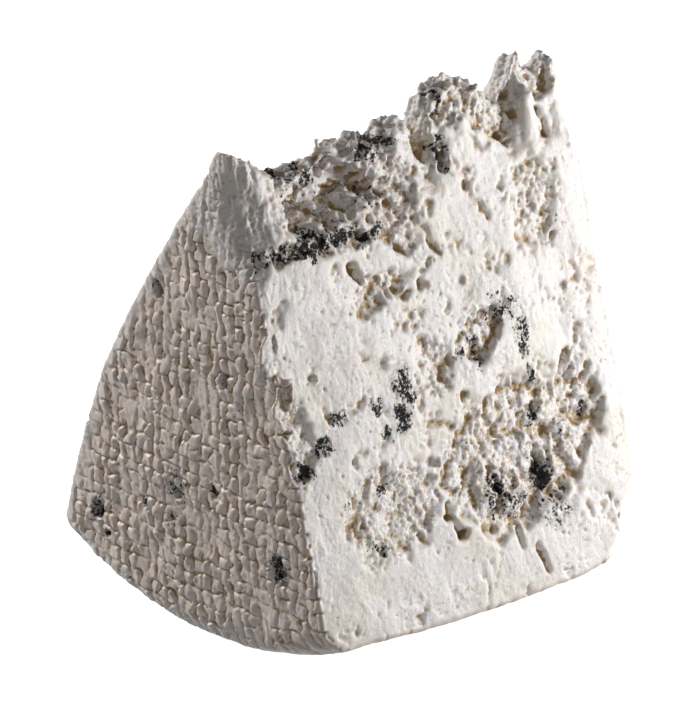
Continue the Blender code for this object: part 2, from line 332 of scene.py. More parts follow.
# The front cut's cracks: along and down at one end, the same at the other, half width, depth
FRONT_CRACKS = tuple(Crack(*sizes) for sizes in (
    (80.5, 27.7, 86.1, 40.6, 0.8, 2.4), (64.0, 29.3, 65.2, 33.7, 0.8, 1.8),
    (60.0, 33.3, 65.9, 45.7, 1.0, 3.2), (51.0, 16.5, 52.8, 25.1, 1.6, 6.5),
    (50.6, 27, 50, 33, 1.1, 3.4), (73.0, 15.3, 73.6, 21.0, 1.3, 9.0), (75.4, 1.5, 75.0, 4.9, 0.6, 5.0),
    (105.2, 27.2, 105.5, 36.2, 1.2, 2.0), (105.5, 36.2, 96.9, 43.0, 1.1, 2.2),
    (96.9, 43.0, 97.3, 49.7, 1.0, 2.6), (97.3, 49.7, 108.3, 50.0, 0.8, 2.0),
    (94.8, 7.8, 91.8, 12.1, 0.9, 3.0), (88.6, 1, 87.4, 11, 0.9, 3.2), (111.5, 12, 113, 21, 1.1, 3),
    (85.1, 14.4, 87.5, 19.1, 0.7, 1.8), (74.5, 45.2, 76.5, 48.6, 0.6, 1.4),
    (61.9, 46.7, 55.7, 53.4, 1.1, 3.8), (52.7, 66.5, 57.5, 70.4, 0.7, 2.2),
    (57.5, 70.4, 57.7, 78.1, 0.7, 2.6), (57.7, 78.1, 59.8, 82.2, 0.7, 2.2),
    (72.2, 67.1, 75.5, 74.8, 1.8, 3.6), (52.4, 90.9, 58.3, 93.7, 1.5, 4.2),
    (78.2, 84.7, 83.3, 86.7, 0.8, 2.4), (112.3, 77.5, 107.7, 85.3, 1.2, 2.2),
    (114, 59, 114.5, 65, 0.8, 1.2), (115.5, 68, 115.8, 74, 0.7, 1.2),
    (98.0, 91.2, 98.0, 96.3, 0.8, 2.6), (116.0, 103.2, 112.9, 107.9, 1.2, 3.0),
    (90.9, 110.1, 88.7, 116.4, 1.4, 13), (85.0, 123.8, 82.0, 126.6, 1.1, 7),
    (72.8, 115.0, 72.0, 123.8, 1.2, 7), (33.4, 108.8, 34.1, 115.5, 1.2, 4),
    (53.9, 108.0, 54.6, 113.0, 0.9, 3), (54.2, 119.7, 55.5, 126.0, 1.2, 3.4),
    (65.8, 123.3, 69.1, 127.8, 1.0, 3.6), (83.9, 137.1, 85.0, 142.6, 0.8, 3),
    (49.3, 137.7, 50.1, 142.8, 0.6, 1.2), (26.8, 38.2, 26.2, 42.1, 0.6, 1.6),
    (33.6, 42.5, 36.5, 46.2, 1.6, 4.6), (34.1, 47.0, 38.1, 50.7, 0.9, 3.6),
    (40.4, 45.7, 40.6, 48.4, 0.6, 2.4), (42.8, 48.3, 44.0, 51.6, 0.7, 2.4),
    (46.9, 50.3, 50.9, 53.0, 0.8, 2.6), (2.9, 50.0, 6.8, 46.1, 1.8, 2.2),
    (14.8, 81.9, 14.0, 77.3, 0.8, 5), (31.9, 58.1, 32.3, 59.7, 0.6, 1.2),
    (33.9, 61.0, 34.3, 62.5, 0.6, 1.2), (29.4, 65.7, 32.7, 67.7, 0.6, 1.4),
    (21.4, 95.5, 26.0, 91.5, 0.8, 1.8), (95.2, -4.2, 95.9, 1.3, 0.8, 2.6),
    (102.0, -3.2, 106.7, 2.0, 1.0, 2.6), (77.0, 21.0, 79.2, 23.3, 0.7, 3),
    (27.3, 11.9, 30.0, 19.5, 1.4, 3), (19.5, 16.9, 26.0, 23.8, 1.4, 2.4), (42.4, 13, 37, 28, 1.4, 3.6),
    (59.5, 19.1, 62.9, 14.1, 0.8, 2.4), (96.5, 120.4, 97.4, 124.9, 0.9, 5),
    (108.4, 112.1, 103.9, 117.6, 1.0, 3), (97.0, 106.0, 99.7, 111.6, 0.8, 2.6),
    (85.5, 93.9, 85.9, 99.4, 0.7, 1.8), (65.2, 97.4, 66.1, 103.6, 1.0, 3),
    (64.4, 87.6, 66.2, 92.9, 0.8, 2.6), (55.1, 101.2, 51.7, 105.6, 0.9, 3),
    (80.5, 102.1, 77.9, 106.8, 0.8, 2.6), (72.2, 104.1, 69.0, 108.0, 0.7, 2.4),
    (63.8, 113.7, 60.3, 118.7, 1.0, 3.2), (40.6, 117.4, 41.4, 123.5, 1.0, 3),
    (24.9, 109.4, 21.4, 114.9, 0.9, 2.4), (17.1, 110.7, 18.6, 117.1, 0.8, 2.2),
    (33.9, 123.2, 36.0, 127.3, 0.8, 2), (46.2, 113.0, 47.3, 118.1, 0.9, 2.8),
    (77.7, 127.8, 78.9, 133.0, 0.9, 3), (104.4, 129.2, 104.9, 134.2, 0.7, 1.6),
    (100.5, 63.0, 102.5, 68.3, 0.6, 1.2), (84.5, 54.2, 86.2, 57.0, 0.6, 1),
    (107.0, 69.5, 108.4, 73.4, 0.6, 1.4), (66.3, 59.0, 67.0, 62.8, 0.6, 1.2),
    (49.0, 57.6, 50.4, 61.5, 0.6, 1.2), (61.7, 134, 61.9, 147, 0.6, 1),
))
# Where the front cut tore: along, down, half width, half height, drop, height of lumps, lean
FRONT_TEARS = tuple(Tear(*sizes) for sizes in (
    (31, 13, 19, 16, 5.5, 2.2, 1.0), (80, 108, 31, 21, 0.8, 1.5), (32, 112, 20, 15, 0.3, 1.0),
    (53, 25, 10, 16, 0.6, 1.5), (106, 100, 7, 18, 0.6, 1.3), (3, 84, 6, 13, 0.5, 1.1),
    (92, 3, 30, 9, 0.5, 1.8), (74, 72, 7, 9, 0.5, 1.2), (57, 76, 6, 10, 0.3, 1.0),
    (103, 38, 9, 12, 0.2, 0.8), (42, 50, 11, 5, 0.2, 0.9),
))
# Mould on the front cut, and painted shade in the torn recess below the point: along, down, half width,
# half height, strength
FRONT_MOULD_AND_SHADE = tuple(Spot(*sizes) for sizes in (
    (0, 31.5, 6, 3.4, 1.25), (11, 31.5, 9, 3, 1.05), (21, 31, 8, 5.4, 1.25), (33, 31.5, 9, 4.2, 1.15),
    (44, 33.5, 6, 3.6, 1.0), (39, 36.5, 4, 2, 0.7), (43.5, 78, 4.6, 8, 1.15), (41.5, 87, 4.4, 6, 1.1),
    (33, 81, 3.6, 4, 0.85), (35, 91, 3.4, 3, 0.85), (19, 81.5, 3.6, 3.2, 1.1), (12, 88, 4, 4, 1.05),
    (4, 94, 4, 3, 1.2), (84, 66, 8, 6, 0.8), (90, 76, 4, 7, 1.0), (73, 76, 2.4, 7, 1.1),
    (66, 75, 2.6, 3, 0.9), (91.4, 88, 2, 4, 0.9), (91, 99.5, 3, 4, 0.9), (72, 118, 7, 8, 1.05),
    (79, 122, 7, 7, 0.7), (93, 128, 9, 8, 0.6), (90, 117, 5, 8, 1.15), (109.6, 103, 2.4, 3.4, 0.95),
    (25.5, 122, 4, 3.5, 0.75), (16.8, 107, 2.4, 4, 0.6), (30.7, 105.5, 3, 2, 0.9),
    (75.5, 3, 1.6, 5, 1.15), (73, 17, 3, 6, 1.1), (48, 11, 5, 3.5, 1.0), (55, 9, 5, 3, 0.9),
    (16.5, 9.5, 5, 3.5, 1.1), (4.5, 62, 3, 4, 0.5), (63, 100, 1.4, 1.4, 1.0), (112, 46, 5, 5, 0.35),
    # The last three spots lay mould grey over the torn recess below the point: partly real mould, partly
    # painted shade where it lies in shadow
    (100, 108, 6, 6, 0.4), (46, 24, 8, 6, 0.5), (30, 20, 16, 8, 0.3), (21, 12, 12, 5, 0.45),
    (27, 14, 13, 4.5, 0.85),
))
# Needle holes and stains on the -X end: y, z, half width, half height, depth or strength
END_HOLES = tuple(Spot(*sizes) for sizes in (
    (13.6, 102.6, 1.8, 3.0, 5), (-16.3, 83.7, 1.6, 2.4, 7), (43.4, 23.4, 2.2, 3.2, 5),
    (21.4, 33.5, 1.5, 2.0, 5), (6.2, 41.0, 1.6, 2.0, 4), (-10.5, 47.1, 1.5, 2.2, 7),
    (-38.6, 32.6, 2.2, 3.6, 6), (39.3, 17.0, 1.2, 1.2, 3), (48.3, 51, 1.2, 2.0, 3),
))
END_STAINS = tuple(Spot(*sizes) for sizes in (
    (13.6, 102.6, 3, 4.5, 1), (-16.3, 83.7, 2.6, 3.4, 1), (43.4, 23.4, 5, 5.4, 1),
    (21.4, 33.5, 3, 3.6, 0.9), (6.2, 43.0, 8, 7.5, 0.75), (8, 33.0, 6, 5, 0.45),
    (-10.5, 47.1, 3, 3.4, 1), (-38.6, 32.6, 5.6, 6.2, 1), (39.3, 17.0, 2, 2, 0.9),
    (48.3, 51, 2.4, 3.4, 0.9), (-24, 78, 9, 7, 0.3), (-16.3, 83.7, 1.9, 2.7, 1.7),
    (43.4, 23.4, 2.5, 3.2, 1.6), (21.4, 33.5, 1.7, 2.2, 1.6), (-10.5, 47.1, 1.8, 2.5, 1.7),
    (-38.6, 32.6, 2.4, 3.7, 1.6),
))
# Height lost where the point has crumbled: distance along from the -X end, and the loss
POINT_LOSS = (
    (0, 1.2), (7, 5.2), (14.6, 10.4), (22, 12.0), (30, 9.4), (38, 8.8), (45, 9.4), (49, 8.4),
    (53, 10.2), (58, 5.8), (62, 5.6), (68.5, 10.6), (72.3, 2.2), (77, 0.2), (84, -0.8), (90, 1.0),
    (95.5, 6.6), (100, 9.4), (103.5, 4.6), (107.5, -3.6), (112.7, 2.8), (116, 3.4), (120, -1.6),
)
# Bites out of the edges: x, y, z and radius
EDGE_BITES = ((71, -68, 11.5, 22.9), (69, -24, 128, 8.2), (-62, 63, 5, 4))

# Lumps of paste, from the largest to the crumbs
BOULDERS = Rubble(size=7.6, step=0.8, slant=1.2, crease=2.7, seed=2.0, tight=1.9)
CLODS = Rubble(size=3.6, step=0.2, slant=0.5, crease=0.4, seed=5.0)
CRUMBS = Rubble(size=1.5, step=0.16, slant=0.3, crease=0.3, seed=9.0)


@dataclass(frozen=True)
class Plane:
    """A flat hidden end of a block, in mm: a place on it, its way out, and the middle it tapers to."""

    place: Place
    out: Place
    middle: Place

    def depth(self, points: np.ndarray) -> np.ndarray:
        """How far inside the plane each point lies."""
        return (np.array(self.place) - points) @ np.array(self.out)

    def press(self, points: np.ndarray) -> np.ndarray:
        """The points, with those beyond the plane laid flat on it."""
        return points + np.minimum(self.depth(points), 0)[:, None] * np.array(self.out)

    def taper(self, points: np.ndarray, share: float = 0.045, reach: float = 2.2) -> np.ndarray:
        """Tapers a block's end, so that it hides under the next block's skin.

        Args:
            points: places in mm, one row each.
            share: how far towards the middle the outermost places are drawn.
            reach: how deep inside the plane the taper starts, in mm.

        Returns:
            The points, with those next to the plane drawn in to its middle.
        """
        away = points - np.array(self.middle)
        away -= (away @ np.array(self.out))[:, None] * np.array(self.out)
        return points - away * (share * (1 - fade(0.3, reach, self.depth(points))))[:, None]


@dataclass(frozen=True)
class Block:
    """One of the overlapping blocks that carry the wedge's skin between them, each with a fine mesh."""

    name: str
    cell: float
    triangles: int
    ends: tuple[Plane, ...]
    shreds: bool = False


@dataclass
class Wedge:
    """The whole wedge of cheese, as overlapping blocks, each one closed skin."""

    wheel: Wheel = field(default_factory=Wheel)
    back_steps: int = 12
    side_steps: int = 20
    crumbled_cell: float = 0.64
    shoulder_round: float = 13.0
    loss_reach: float = 34.0
    flap_places: tuple[Place, ...] = ((-61.8, -36.0, 97.5), (-61.0, -40.8, 85.0))
    flap_size: Place = (1.9, 2.6, 7.4)
    back_seed: int = 7
    back_hollows: int = 42
    back_tears: int = 7
    shred_seed: int = 3
    ridge_shreds: int = 36
    tear_shreds: int = 24
    ridge_long: tuple[float, float] = (0.7, 1.5)
    tear_long: tuple[float, float] = (0.7, 1.2)
    end_lump_place: Place = (59.0, -17.3, 145.8)
    end_lump_size: Place = (2.9, 4.4, 5.2)
    nodule_place: tuple[float, float] = (39.6, 70.6)
    nodule_radius: float = 1.9
    cloth_across: float = 4.2
    cloth_down: float = 4.6
    cloth_relief: float = 1.4
    rind_depth: float = 1.9
    left_seam: float = -53.0
    front_seam: float = -13.0
    overlap: float = 6.0
    rind_cell: float = 0.38
    rind_triangles: int = 190_000
    front_cell: float = 0.46
    front_triangles: int = 198_000
    back_cell: float = 0.95
    back_triangles: int = 80_000
    crease_reach: int = 5
    hollow_reach: int = 180
    crease_full: float = 0.22
    hollow_full: float = 2.4

    def __post_init__(self) -> None:
        """Sets out the two cuts, and draws the hidden one's hollows and tears."""
        self.front = Cut.between(self.wheel, self.wheel.point_front, self.wheel.front_y)
        self.back = Cut.between(self.wheel, self.wheel.point_back, self.wheel.back_y)
        draw = random.Random(self.back_seed)
        width, length = 2 * self.wheel.half_width, self.back.length
        hollows = []
        for _ in range(self.back_hollows):
            u, v = draw.uniform(6, width - 6), draw.uniform(8, length - 22)
            end_u, end_v = u + draw.uniform(-5, 5), v + draw.uniform(2, 9)
            hollows.append(Crack(u, v, end_u, end_v, draw.uniform(0.9, 2.6), draw.uniform(2, 7)))
        tears = []
        for _ in range(self.back_tears):
            u, v = draw.uniform(10, width - 10), draw.uniform(10, length - 30)
            half_u, half_v = draw.uniform(9, 22), draw.uniform(9, 20)
            tears.append(Tear(u, v, half_u, half_v, draw.uniform(0.8, 3), draw.uniform(1.6, 3)))
        self.back_hollow_spots = tuple(hollows)
        self.back_tear_spots = tuple(tears)

    def outline(self) -> list[tuple[float, float]]:
        """Sets out the section across X.

        Returns:
            Its corners as (y, z) in mm, from the point down the back, round and up the front.
        """
        outline = [self.wheel.point_front, self.wheel.point_back]
        for step in range(1, self.back_steps):
            share = step / self.back_steps
            swell = self.wheel.back_bulge * math.sin(math.pi * share**1.3) ** 1.3
            spot = self.back.top + self.back.down * self.back.length * share + self.back.out * swell
            outline.append((spot[1], spot[2]))
        for step in range(self.side_steps + 1):
            y = self.wheel.back_y + (self.wheel.front_y - self.wheel.back_y) * step / self.side_steps
            outline.append((y, float(self.wheel.side(np.array(y)))))
        return outline

    def block(self) -> bmesh.types.BMesh:
        """Makes the wedge as cut, before it crumbles.

        Returns:
            A prism with the wheel's rims rounded, in metres.
        """
        shape = bmesh.new()
        half = self.wheel.half_width * MM
        corners = [shape.verts.new((-half, y * MM, z * MM)) for y, z in self.outline()]
        end = shape.faces.new(corners)
        grown = bmesh.ops.extrude_face_region(shape, geom=[end])
        moved = [item for item in grown["geom"] if isinstance(item, bmesh.types.BMVert)]
        bmesh.ops.translate(shape, verts=moved, vec=(2 * half, 0, 0))
        bmesh.ops.recalc_face_normals(shape, faces=shape.faces)
        low = float(self.wheel.side(np.array(self.wheel.front_y))) * MM + 1e-5
        rims = [edge for edge in shape.edges
                if all(corner.co.z < low for corner in edge.verts)
                and abs(edge.verts[0].co.x - edge.verts[1].co.x) < 1e-6]
        bmesh.ops.bevel(shape, geom=rims, offset=self.wheel.rim_round * MM, segments=6, profile=0.5,
                        affect="EDGES", material=-1)
        heel = [edge for edge in shape.edges
                if all(corner.co.y > (self.wheel.back_y - 0.5) * MM for corner in edge.verts)
                and abs(edge.verts[0].co.x - edge.verts[1].co.x) > 0.05]
        bmesh.ops.bevel(shape, geom=heel, offset=self.wheel.heel_round * MM, segments=6, profile=0.5,
                        affect="EDGES", material=-1)
        sharp = [edge for edge in shape.edges if edge.calc_face_angle(0) > math.radians(40)]
        bmesh.ops.bevel(shape, geom=sharp, offset=self.wheel.cut_round * MM, segments=2, profile=0.5,
                        affect="EDGES", material=-1)
        return shape

    def add_lump(self, shape: bmesh.types.BMesh, centre: Vector, size: Vector, lean: float) -> None:
        """Overlaps a small rounded lump with the wedge, for the skin to fuse.

        Args:
            shape: the mesh that takes the lump.
            centre: the lump's middle, in mm.
            size: its half sizes, in mm.
            lean: how far its top leans to +X for each mm of height.
        """
        made = bmesh.ops.create_icosphere(shape, subdivisions=2, radius=1.0)
        for corner in made["verts"]:
            corner.co = corner.co * size * MM
            corner.co.x += lean * corner.co.z
            corner.co += centre * MM

    def even_skin(self, wedge: bpy.types.Object, cell: float) -> None:
        """Makes the wedge one even closed skin.

        Args:
            wedge: the object to cover.
            cell: the size of the skin's cells in mm.
        """
        modifier = wedge.modifiers.new("even_skin", "REMESH")
        modifier.mode = "VOXEL"
        modifier.voxel_size = cell * MM
        self.settle(wedge)

    def settle(self, wedge: bpy.types.Object) -> None:
        """Replaces the wedge's mesh with what its modifiers make, and drops them.

        Args:
            wedge: the object with the modifiers.
        """
        graph = bpy.context.evaluated_depsgraph_get()
        fresh = bpy.data.meshes.new_from_object(wedge.evaluated_get(graph))
        stale = wedge.data
        wedge.modifiers.clear()
        wedge.data = fresh
        bpy.data.meshes.remove(stale)

    def read(self, wedge: bpy.types.Object) -> tuple[np.ndarray, np.ndarray]:
        """Reads the wedge's mesh.

        Args:
            wedge: the object to read.

        Returns:
            Its points in mm, and its normals, one row each.
        """
        count = len(wedge.data.vertices)
        points = np.empty(count * 3)
        wedge.data.vertices.foreach_get("co", points)
        normals = np.empty(count * 3)
        wedge.data.vertex_normals.foreach_get("vector", normals)
        return points.reshape(-1, 3) / MM, normals.reshape(-1, 3)

    def stand(self, wedge: bpy.types.Object) -> None:
        """Raises the wedge so that its foot is at zero.

        Args:
            wedge: the object to raise.
        """
        points = self.read(wedge)[0]
        points[:, 2] -= self.wheel.foot
        wedge.data.vertices.foreach_set("co", (points * MM).ravel())
        wedge.data.update()

    def write(self, wedge: bpy.types.Object, points: np.ndarray) -> None:
        """Moves the wedge's points, and lays them flat where they hang below the foot.

        Args:
            wedge: the object to change.
            points: the places in mm, one row each.
        """
        placed = points.copy()
        placed[:, 2] = np.maximum(placed[:, 2], self.wheel.foot)
        wedge.data.vertices.foreach_set("co", (placed * MM).ravel())
        wedge.data.update()

    def crumble(self, u: np.ndarray, v: np.ndarray, most: np.ndarray, hollows: tuple[Spot | Crack, ...],
                tears: tuple[Tear, ...]) -> np.ndarray:
        """How far a cut's surface lies inside its plane.

        Args:
            u: distances along.
            v: distances down.
            most: the deepest that the cheese's thickness allows at each place.
            hollows: the cut's hollows and cracks.
            tears: the cut's torn stretches.

        Returns:
            One depth a place, in mm.
        """
        flat = np.stack([u, v, np.zeros_like(u)], axis=1)
        warp = drift(flat, 8.0) * 2.8 + drift(flat, 3.0, 3.0) * 2.2
        bent = flat + warp * (1, 1, 0)
        u, v = bent[:, 0], bent[:, 1]
        boulders = BOULDERS.lay(bent)[0]
        clods, clod_depth = CLODS.lay(bent)
        jag = hills(flat, 3.2, 51.0, Grain.ROUGH)
        wander = drift(flat, 15.0, 53.0) * 6.0
        depth = np.zeros_like(u)
        lumps = boulders + clods
        for tear in tears:
            share = tear.share(u + wander[:, 0] + 1.8 * jag, v + wander[:, 1] - 1.8 * jag)
            fall = np.minimum(tear.fall(v), 0.7 * most)
            depth = np.maximum(depth, share * np.maximum(fall + 0.35 - 0.6 * tear.stand * lumps, -0.2))
        for hollow in hollows:
            reach = np.maximum(hollow.reach(u, v) + 0.55 * jag, 0)
            bowl = np.clip(1 - reach**2.4, 0, 1) ** 0.75
            depth = np.maximum(depth, hollow.much * (1.1 + 0.3 * lumps) * bowl)
        split = (1 - fade(0.02, 0.12, clod_depth)) * fade(0.25, 0.45, hills(flat, 9.0, 31.0))
        return np.maximum(depth, 1.5 * split)

    def round_shoulder(self, points: np.ndarray) -> np.ndarray:
        """Wears the corner between the -X end and the front cut round near the point.

        Args:
            points: places in mm, one row each.

        Returns:
            The moved points.
        """
        u, v, out = self.front.place(points)
        radius = self.shoulder_round * fade(44, 26, v) * (0.4 + 0.6 * fade(0, 14, v)) + 0.01
        inward, outward = radius - u, radius + out
        length = np.hypot(inward, outward)
        corner = (inward > 0) & (outward > 0) & (length > radius)
        share = np.where(corner, radius / np.maximum(length, 1e-6), 1.0)
        moved = points.copy()
        moved[:, 0] += inward * (1 - share)
        return moved + (outward * (share - 1))[:, None] * self.front.out

    def crumble_block(self, points: np.ndarray, normals: np.ndarray) -> np.ndarray:
        """The first pass: tears, hollows, the crumbled point, and bites out of the edges.

        Args:
            points: the plain block's points in mm.
            normals: its normals.

        Returns:
            The moved points.
        """
        moved = points.copy()
        thick = 8 + 0.72 * np.maximum(self.front.place(points)[1], 0)
        for cut, hollows, tears, most in ((self.front, FRONT_HOLLOWS + FRONT_CRACKS, FRONT_TEARS, 0.62),
                                          (self.back, self.back_hollow_spots, self.back_tear_spots, 0.3)):
            facing = fade(0.35, 0.8, normals @ cut.out)
            u, v, _ = cut.place(points)
            depth = where_open(facing, lambda *rows: self.crumble(*rows, hollows, tears), u, v,
                               most * thick)
            push = (0.35 * hills(points, 9.0) - np.minimum(depth, 1.3 * most * thick)) * facing
            moved += push[:, None] * cut.out
        moved = self.round_shoulder(moved)
        height = points[:, 2]
        swell = 3.5 * np.exp(-(((height - 34) / 26) ** 2)) + 3.0 * fade(45, 65, height)
        swell = (swell - 3.4 * fade(128, 137, height)) * fade(0, 25, -points[:, 1])
        moved[:, 0] += swell * fade(0.4, 0.9, normals[:, 0])
        lip = fade(-35, -56, points[:, 1]) * fade(40, 5, points[:, 2]) * fade(-50, -12, points[:, 0])
        moved[:, 2] -= (3.2 + fade(-20, 10, points[:, 0]) - 2.4 * fade(36, 56, points[:, 0])) * lip
        side = fade(0.5, 0.9, np.abs(normals[:, 0]))
        middle = 1 - (points[:, 1] / self.wheel.back_y) ** 2
        bulge = np.sign(points[:, 0]) * self.wheel.end_bulge * side * middle
        moved[:, 0] += bulge * fade(0, 50, points[:, 2])
        moved += normals * (0.9 * hills(points, 24.0) * fade(4, 20, points[:, 2]))[:, None]
        moved[:, 2] -= self.point_drop(points)
        for x, y, z, radius in EDGE_BITES:
            away = moved - (x, y, z)
            length = np.linalg.norm(away, axis=1)
            wide = radius * (1 + 0.25 * hills(points, 5.0))
            inside = length < wide
            moved[inside] = (x, y, z) + away[inside] * (wide[inside] / length[inside])[:, None]
        return moved

    def point_drop(self, points: np.ndarray) -> np.ndarray:
        """How far places sink because the point above them has crumbled away.

        Args:
            points: places in mm, one row each.

        Returns:
            One drop a point, in mm.
        """
        along = points[:, 0] + self.wheel.half_width
        top = self.wheel.point_back[1]
        high = fade(top - self.loss_reach, top - 4, points[:, 2])
        loss = np.zeros_like(along)
        for (start, low), (stop, end) in zip(POINT_LOSS, POINT_LOSS[1:]):
            here = (along >= start) & (along <= stop)
            share = fade(start, stop, along[here])
            loss[here] = low + (end - low) * share
        crag = 0.4 + 1.4 * hills(np.stack([along, points[:, 1], np.full_like(along, 44.0)], axis=1), 3.6)
        crag -= where_open(high, lambda spots: 0.9 * BOULDERS.lay(spots)[0], points)
        return (loss + crag) * high

    def faces(self, points: np.ndarray, normals: np.ndarray) -> dict[str, np.ndarray]:
        """Which face of the wedge each point belongs to.

        Args:
            points: places in mm.
            normals: their normals.

        Returns:
            Shares from 0 to 1 for the two ends, the round side and all rind, and a true for the front cut.
        """
        left = self.wheel.half_width + points[:, 0] + self.wheel.end_bulge
        right = self.wheel.half_width - points[:, 0] + self.wheel.end_bulge
        under = points[:, 2] - self.wheel.side(points[:, 1])
        depth = self.rind_depth + self.wheel.end_bulge
        on_left = (1 - fade(depth, depth + 2.2, left)) * fade(0.2, 0.6, -normals[:, 0])
        on_right = (1 - fade(depth, depth + 2.2, right)) * fade(0.2, 0.6, normals[:, 0])
        radial = points[:, 1:] - (self.wheel.middle_y, self.wheel.radius)
        outward = np.sum(normals[:, 1:] * radial, axis=1) / np.maximum(np.linalg.norm(radial, axis=1), 1)
        on_side = (1 - fade(self.rind_depth, self.rind_depth + 2, under)) * fade(0.2, 0.6, outward)
        front_out = self.front.place(points)[2]
        back_out = self.back.place(points)[2] - self.wheel.back_bulge * 0.7
        rind = np.clip(np.maximum(np.maximum(on_left, on_right), on_side), 0, 1)
        return {"left": on_left, "right": on_right, "side": on_side, "rind": rind,
                "front": front_out > back_out}

    def tear_share(self, points: np.ndarray, faces: dict[str, np.ndarray]) -> np.ndarray:
        """How torn, against knife-smeared, the paste is.

        Args:
            points: places in mm, one row each.
            faces: which face each belongs to.

        Returns:
            One share a point, 0 to 1.
        """
        torn = np.zeros(len(points))
        for cut, tears, mine in ((self.front, FRONT_TEARS, faces["front"]),
                                 (self.back, self.back_tear_spots, ~faces["front"])):
            u, v, out = cut.place(points)
            warp = drift(np.stack([u, v, np.zeros_like(u)], axis=1), 7.0) * 1.6
            share = np.zeros_like(u)
            for tear in tears:
                share = np.maximum(share, tear.share(u + warp[:, 0], v + warp[:, 1]))
            share = np.maximum(share, fade(1.0, 3.0, -out))
            share = np.maximum(share, 1 - fade(3, 12, v + 4 * hills(points, 6.0, 5.0)))
            torn = np.where(mine, share, torn)
        return torn * (1 - faces["rind"])

    def cloth(self, across: np.ndarray, down: np.ndarray, seed: float) -> np.ndarray:
        """Height of the cloth's print in the rind: wandering rows of puffed pads, clearer low down.

        Args:
            across: distances over the end.
            down: heights on it.
            seed: another cloth for another end.

        Returns:
            Heights in mm, 0 in the creases.
        """
        flat = np.stack([across, down, np.full_like(across, seed)], axis=1)
        sway = drift(flat, 15.0, seed) * 2.4 + drift(flat, 4.6, seed) * 1.7 + drift(flat, 1.9, seed) * 0.5
        clear = 1 - fade(50, 84, down)
        columns = (across + sway[:, 0]) / self.cloth_across
        column = np.floor(columns)
        stagger = scatter(column[:, None], seed + 8) - 0.5
        rows = (down + sway[:, 1] * 0.8) / self.cloth_down + (1 - 0.82 * clear) * stagger
        row = np.floor(rows)
        cell = np.stack([column, row], axis=1)
        phase = rows - row - 0.5
        offset = columns - column - 0.5 + 0.2 * (scatter(cell, seed + 5) - 0.5)
        half = 0.5 * np.clip(0.86 + 1.7 * (scatter(cell, seed) - 0.5) * phase, 0.45, 1.1)
        pad = np.clip(1 - np.abs(offset / half) ** 4, 0, 1) ** 0.6
        kept = 0.2 + 0.8 * fade(-0.35, 0.05, hills(flat, 4.4, seed + 6, Grain.ROUGH))
        pad = 1 - kept * (1 - pad)
        firm = scatter(cell, seed + 1)
        crease = clear * (0.6 + 0.4 * firm) + (1 - clear) * fade(0.45, 0.7, firm)
        crease *= 0.3 + 0.7 * fade(-0.3, 0.1, hills(flat, 3.8, seed + 7, Grain.ROUGH))
        knot = 1 - crease * fade(0.68, 0.94, 2 * np.abs(phase))
        tall = 0.7 + 0.35 * scatter(cell, seed + 2) + 0.4 * hills(flat, 2.4, seed + 4)
        worn = 0.4 + 0.6 * fade(-0.35, 0.1, hills(flat, 13.0, seed + 3))
        return self.cloth_relief * pad * knot * np.clip(tall, 0.2, 1.35) * worn

    def paste_height(self, points: np.ndarray, torn: np.ndarray, v: np.ndarray) -> np.ndarray:
        """Relief of the paste: curds where it tore, and the knife's smears and pits where it didn't.

        Args:
            points: places in mm.
            torn: how torn the paste is at each.
            v: distances down the front cut.

        Returns:
            Heights in mm.
        """
        crumbs = CRUMBS.lay(points + drift(points, 1.4, 4.0) * 0.4)[0]
        clods = CLODS.lay(points + drift(points, 2.6, 6.0) * 0.9)[0]
        rough = hills(points, 1.1, 7.0, Grain.ROUGH)
        broad = hills(points * (1, 0.5, 0.5), 7.5, 9.0, Grain.ROUGH)
        layers = 2.4 * hills(points + drift(points, 2.0, 11.0), 4.4, 71.0, Grain.ROUGH)
        ledges = np.floor(layers) + fade(0.3, 0.7, layers - np.floor(layers))
        height = torn * (0.2 * clods + 0.8 * crumbs + 0.16 * rough + 0.3 * ledges)
        chatter = np.sin(4.9 * v + 3.0 * broad) * fade(0.0, 0.35, hills(points, 8.0, 61.0))
        steps = 2.6 * broad
        flakes = np.floor(steps) + fade(0.36, 0.64, steps - np.floor(steps)) - steps
        smear = 0.12 * broad + 0.2 * flakes + 0.035 * rough + 0.04 * chatter
        smear += 0.2 * np.minimum(crumbs, 0) * fade(0.0, 0.4, broad)
        pits = fade(0.52, 0.62, hills(points, 1.5, 33.0)) * fade(-0.1, 0.2, hills(points, 14.0, 34.0))
        return height + (1 - torn) * smear - 0.4 * pits

    def bare(self, points: np.ndarray) -> np.ndarray:
        """How far the cloth's print has worn off a rind end near the point, 0 to 1."""
        return fade(122, 134, points[:, 2] - 0.45 * points[:, 1] + 6 * hills(points, 9.0, 43.0))

    def rim(self, points: np.ndarray) -> np.ndarray:
        """How close places are to the worn rim round a rind end, where the print is flattened and, on the
        -X end, the rind is made paler as painted light.

        Args:
            points: places in mm, one row each.

        Returns:
            One share a point, 1 at the rim.
        """
        under = points[:, 2] - self.wheel.side(points[:, 1]) - self.wheel.foot
        _, v, out = self.back.place(points)
        share = np.clip(v / self.back.length, 0, 1)
        behind = -out + self.wheel.back_bulge * np.sin(math.pi * share**1.3) ** 1.3
        return 1 - fade(1.0, 6.5, np.minimum(under, behind) + 1.2 * hills(points, 6.0, 81.0))

    def end_height(self, points: np.ndarray, seed: float) -> np.ndarray:
        """Relief of a rind end: the cloth's print, worn away near the point.

        Args:
            points: places in mm.
            seed: another cloth for another end.

        Returns:
            Heights in mm.
        """
        bare = self.bare(points)
        rough = hills(points, 1.1, 7.0, Grain.ROUGH)
        worn = (1 - 0.7 * bare) * (1 - 0.75 * self.rim(points))
        print_height = worn * (self.cloth(points[:, 1], points[:, 2], seed) - 0.5 * self.cloth_relief)
        grooves = hills(points * (1, 1, 0.2), 2.2, 41.0, Grain.ROUGH)
        return print_height + (0.16 + 0.1 * bare) * rough + 0.35 * bare * grooves

